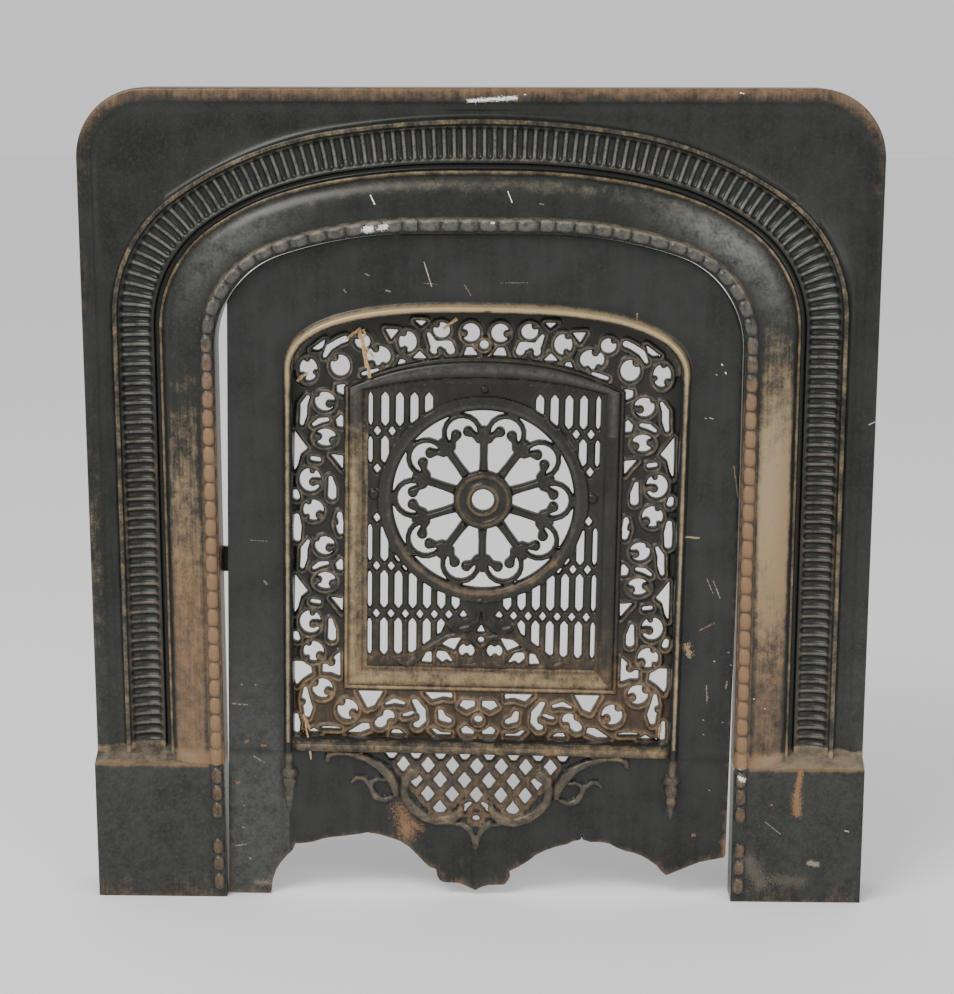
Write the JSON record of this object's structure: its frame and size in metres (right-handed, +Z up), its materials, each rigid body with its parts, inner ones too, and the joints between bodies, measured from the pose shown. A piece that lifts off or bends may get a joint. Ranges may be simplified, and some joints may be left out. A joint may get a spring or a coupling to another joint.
{
  "type": "cast-iron fireplace surround",
  "caption": "Arched cast-iron fireplace surround with fluted cove, bead string and plinth blocks, holding a loose arched summer cover with a pierced scroll grille.",
  "frame": {"origin": "bottom centre of the surround's bounding box, on the floor, midway between the back rim and the crests of the beads", "axes": "+X to the viewer's right across the width, +Y towards the wall behind, +Z up; the ornamented front faces -Y"},
  "size_m": [0.762, 0.067, 0.799],
  "materials": {
    "surround_iron": "worn black paint, bronze-brown on the raised edges",
    "cover_iron": "worn black paint, gilt-brown on the moulding",
    "grille_iron": "worn black paint over bronze-brown casting",
    "twine": "dry straw-coloured twine"
  },
  "bodies": {
    "root": {"surround": "surround_iron", "cover_plate": "cover_iron", "grille_panel": "grille_iron", "twine_tie_top_left": "twine", "twine_tie_top": "twine", "twine_tie_left": "twine", "twine_tie_lower_left": "twine", "twine_tie_lower_right": "twine", "twine_tail": "twine"}
  },
  "joints": []
}
